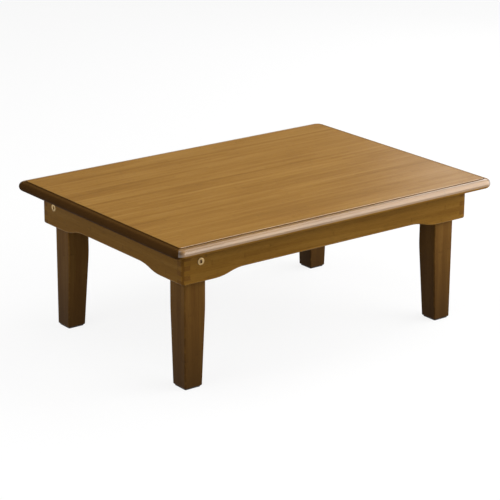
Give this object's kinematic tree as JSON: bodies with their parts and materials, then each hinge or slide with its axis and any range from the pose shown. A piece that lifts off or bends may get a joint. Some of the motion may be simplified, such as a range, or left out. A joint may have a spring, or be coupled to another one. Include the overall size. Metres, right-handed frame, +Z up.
{
  "type": "folding coffee table",
  "caption": "Low rectangular folding coffee table with a moulded top, arched finger-jointed aprons and tapered legs that fold flat inside the frame.",
  "frame": {"origin": "on the floor, under the middle of the table top", "axes": "+X along the length, +Y towards the back, +Z up; the front is the long side on -Y"},
  "size_m": [0.7, 0.5, 0.27],
  "materials": {
    "top_bamboo": "carbonised strip bamboo, strips along the length, clear semi-gloss varnish",
    "long_apron_bamboo": "stained strip bamboo, strips along the length, clear semi-gloss varnish",
    "short_apron_bamboo": "stained strip bamboo, strips along the width, clear semi-gloss varnish",
    "leg_bamboo": "stained strip bamboo, strips upright, clear semi-gloss varnish",
    "rail_bamboo": "stained strip bamboo, thinly varnished",
    "long_cleat_bamboo": "stained strip bamboo, thinly varnished",
    "short_cleat_bamboo": "stained strip bamboo, thinly varnished",
    "dowel_beech": "bare beech",
    "bolt_brass": "satin brass-plated steel",
    "nut_steel": "zinc-plated",
    "screw_steel": "yellow zinc-plated",
    "spacer_nylon": "plain off-white nylon",
    "pad_rubber": "matt black"
  },
  "bodies": {
    "table_frame": {"top_panel": "top_bamboo", "cross_rail": "rail_bamboo", "cross_rail_screws": "screw_steel", "front_apron": "long_apron_bamboo", "front_apron_dowels": "dowel_beech", "front_cleat": "long_cleat_bamboo", "front_cleat_screws": "screw_steel", "right_apron": "short_apron_bamboo", "right_apron_dowels": "dowel_beech", "right_cleat": "short_cleat_bamboo", "right_cleat_screws": "screw_steel", "back_apron": "long_apron_bamboo", "back_apron_dowels": "dowel_beech", "back_cleat": "long_cleat_bamboo", "back_cleat_screws": "screw_steel", "left_apron": "short_apron_bamboo", "left_apron_dowels": "dowel_beech", "left_cleat": "short_cleat_bamboo", "left_cleat_screws": "screw_steel", "front_left_pivot_bolt": "bolt_brass", "front_left_spacer_washer": "spacer_nylon", "front_left_nut_washer": "nut_steel", "front_left_lock_nut": "nut_steel", "front_right_pivot_bolt": "bolt_brass", "front_right_spacer_washer": "spacer_nylon", "front_right_nut_washer": "nut_steel", "front_right_lock_nut": "nut_steel", "back_right_pivot_bolt": "bolt_brass", "back_right_spacer_washer": "spacer_nylon", "back_right_nut_washer": "nut_steel", "back_right_lock_nut": "nut_steel", "back_left_pivot_bolt": "bolt_brass", "back_left_spacer_washer": "spacer_nylon", "back_left_nut_washer": "nut_steel", "back_left_lock_nut": "nut_steel"},
    "front_left_leg_assembly": {"front_left_leg": "leg_bamboo", "front_left_foot_pad": "pad_rubber"},
    "front_right_leg_assembly": {"front_right_leg": "leg_bamboo", "front_right_foot_pad": "pad_rubber"},
    "back_right_leg_assembly": {"back_right_leg": "leg_bamboo", "back_right_foot_pad": "pad_rubber"},
    "back_left_leg_assembly": {"back_left_leg": "leg_bamboo", "back_left_foot_pad": "pad_rubber"}
  },
  "joints": [
    {"name": "front_left_leg_fold", "type": "hinge", "parent": "table_frame", "child": "front_left_leg_assembly", "pos_m": [-0.2782, -0.1775, 0.23], "axis": [0, -1, 0], "range_deg": [0, 90]},
    {"name": "front_right_leg_fold", "type": "hinge", "parent": "table_frame", "child": "front_right_leg_assembly", "pos_m": [0.2775, -0.1782, 0.23], "axis": [1, 0, 0], "range_deg": [0, 90]},
    {"name": "back_right_leg_fold", "type": "hinge", "parent": "table_frame", "child": "back_right_leg_assembly", "pos_m": [0.2782, 0.1775, 0.23], "axis": [0, 1, 0], "range_deg": [0, 90]},
    {"name": "back_left_leg_fold", "type": "hinge", "parent": "table_frame", "child": "back_left_leg_assembly", "pos_m": [-0.2775, 0.1782, 0.23], "axis": [-1, 0, 0], "range_deg": [0, 90]}
  ]
}
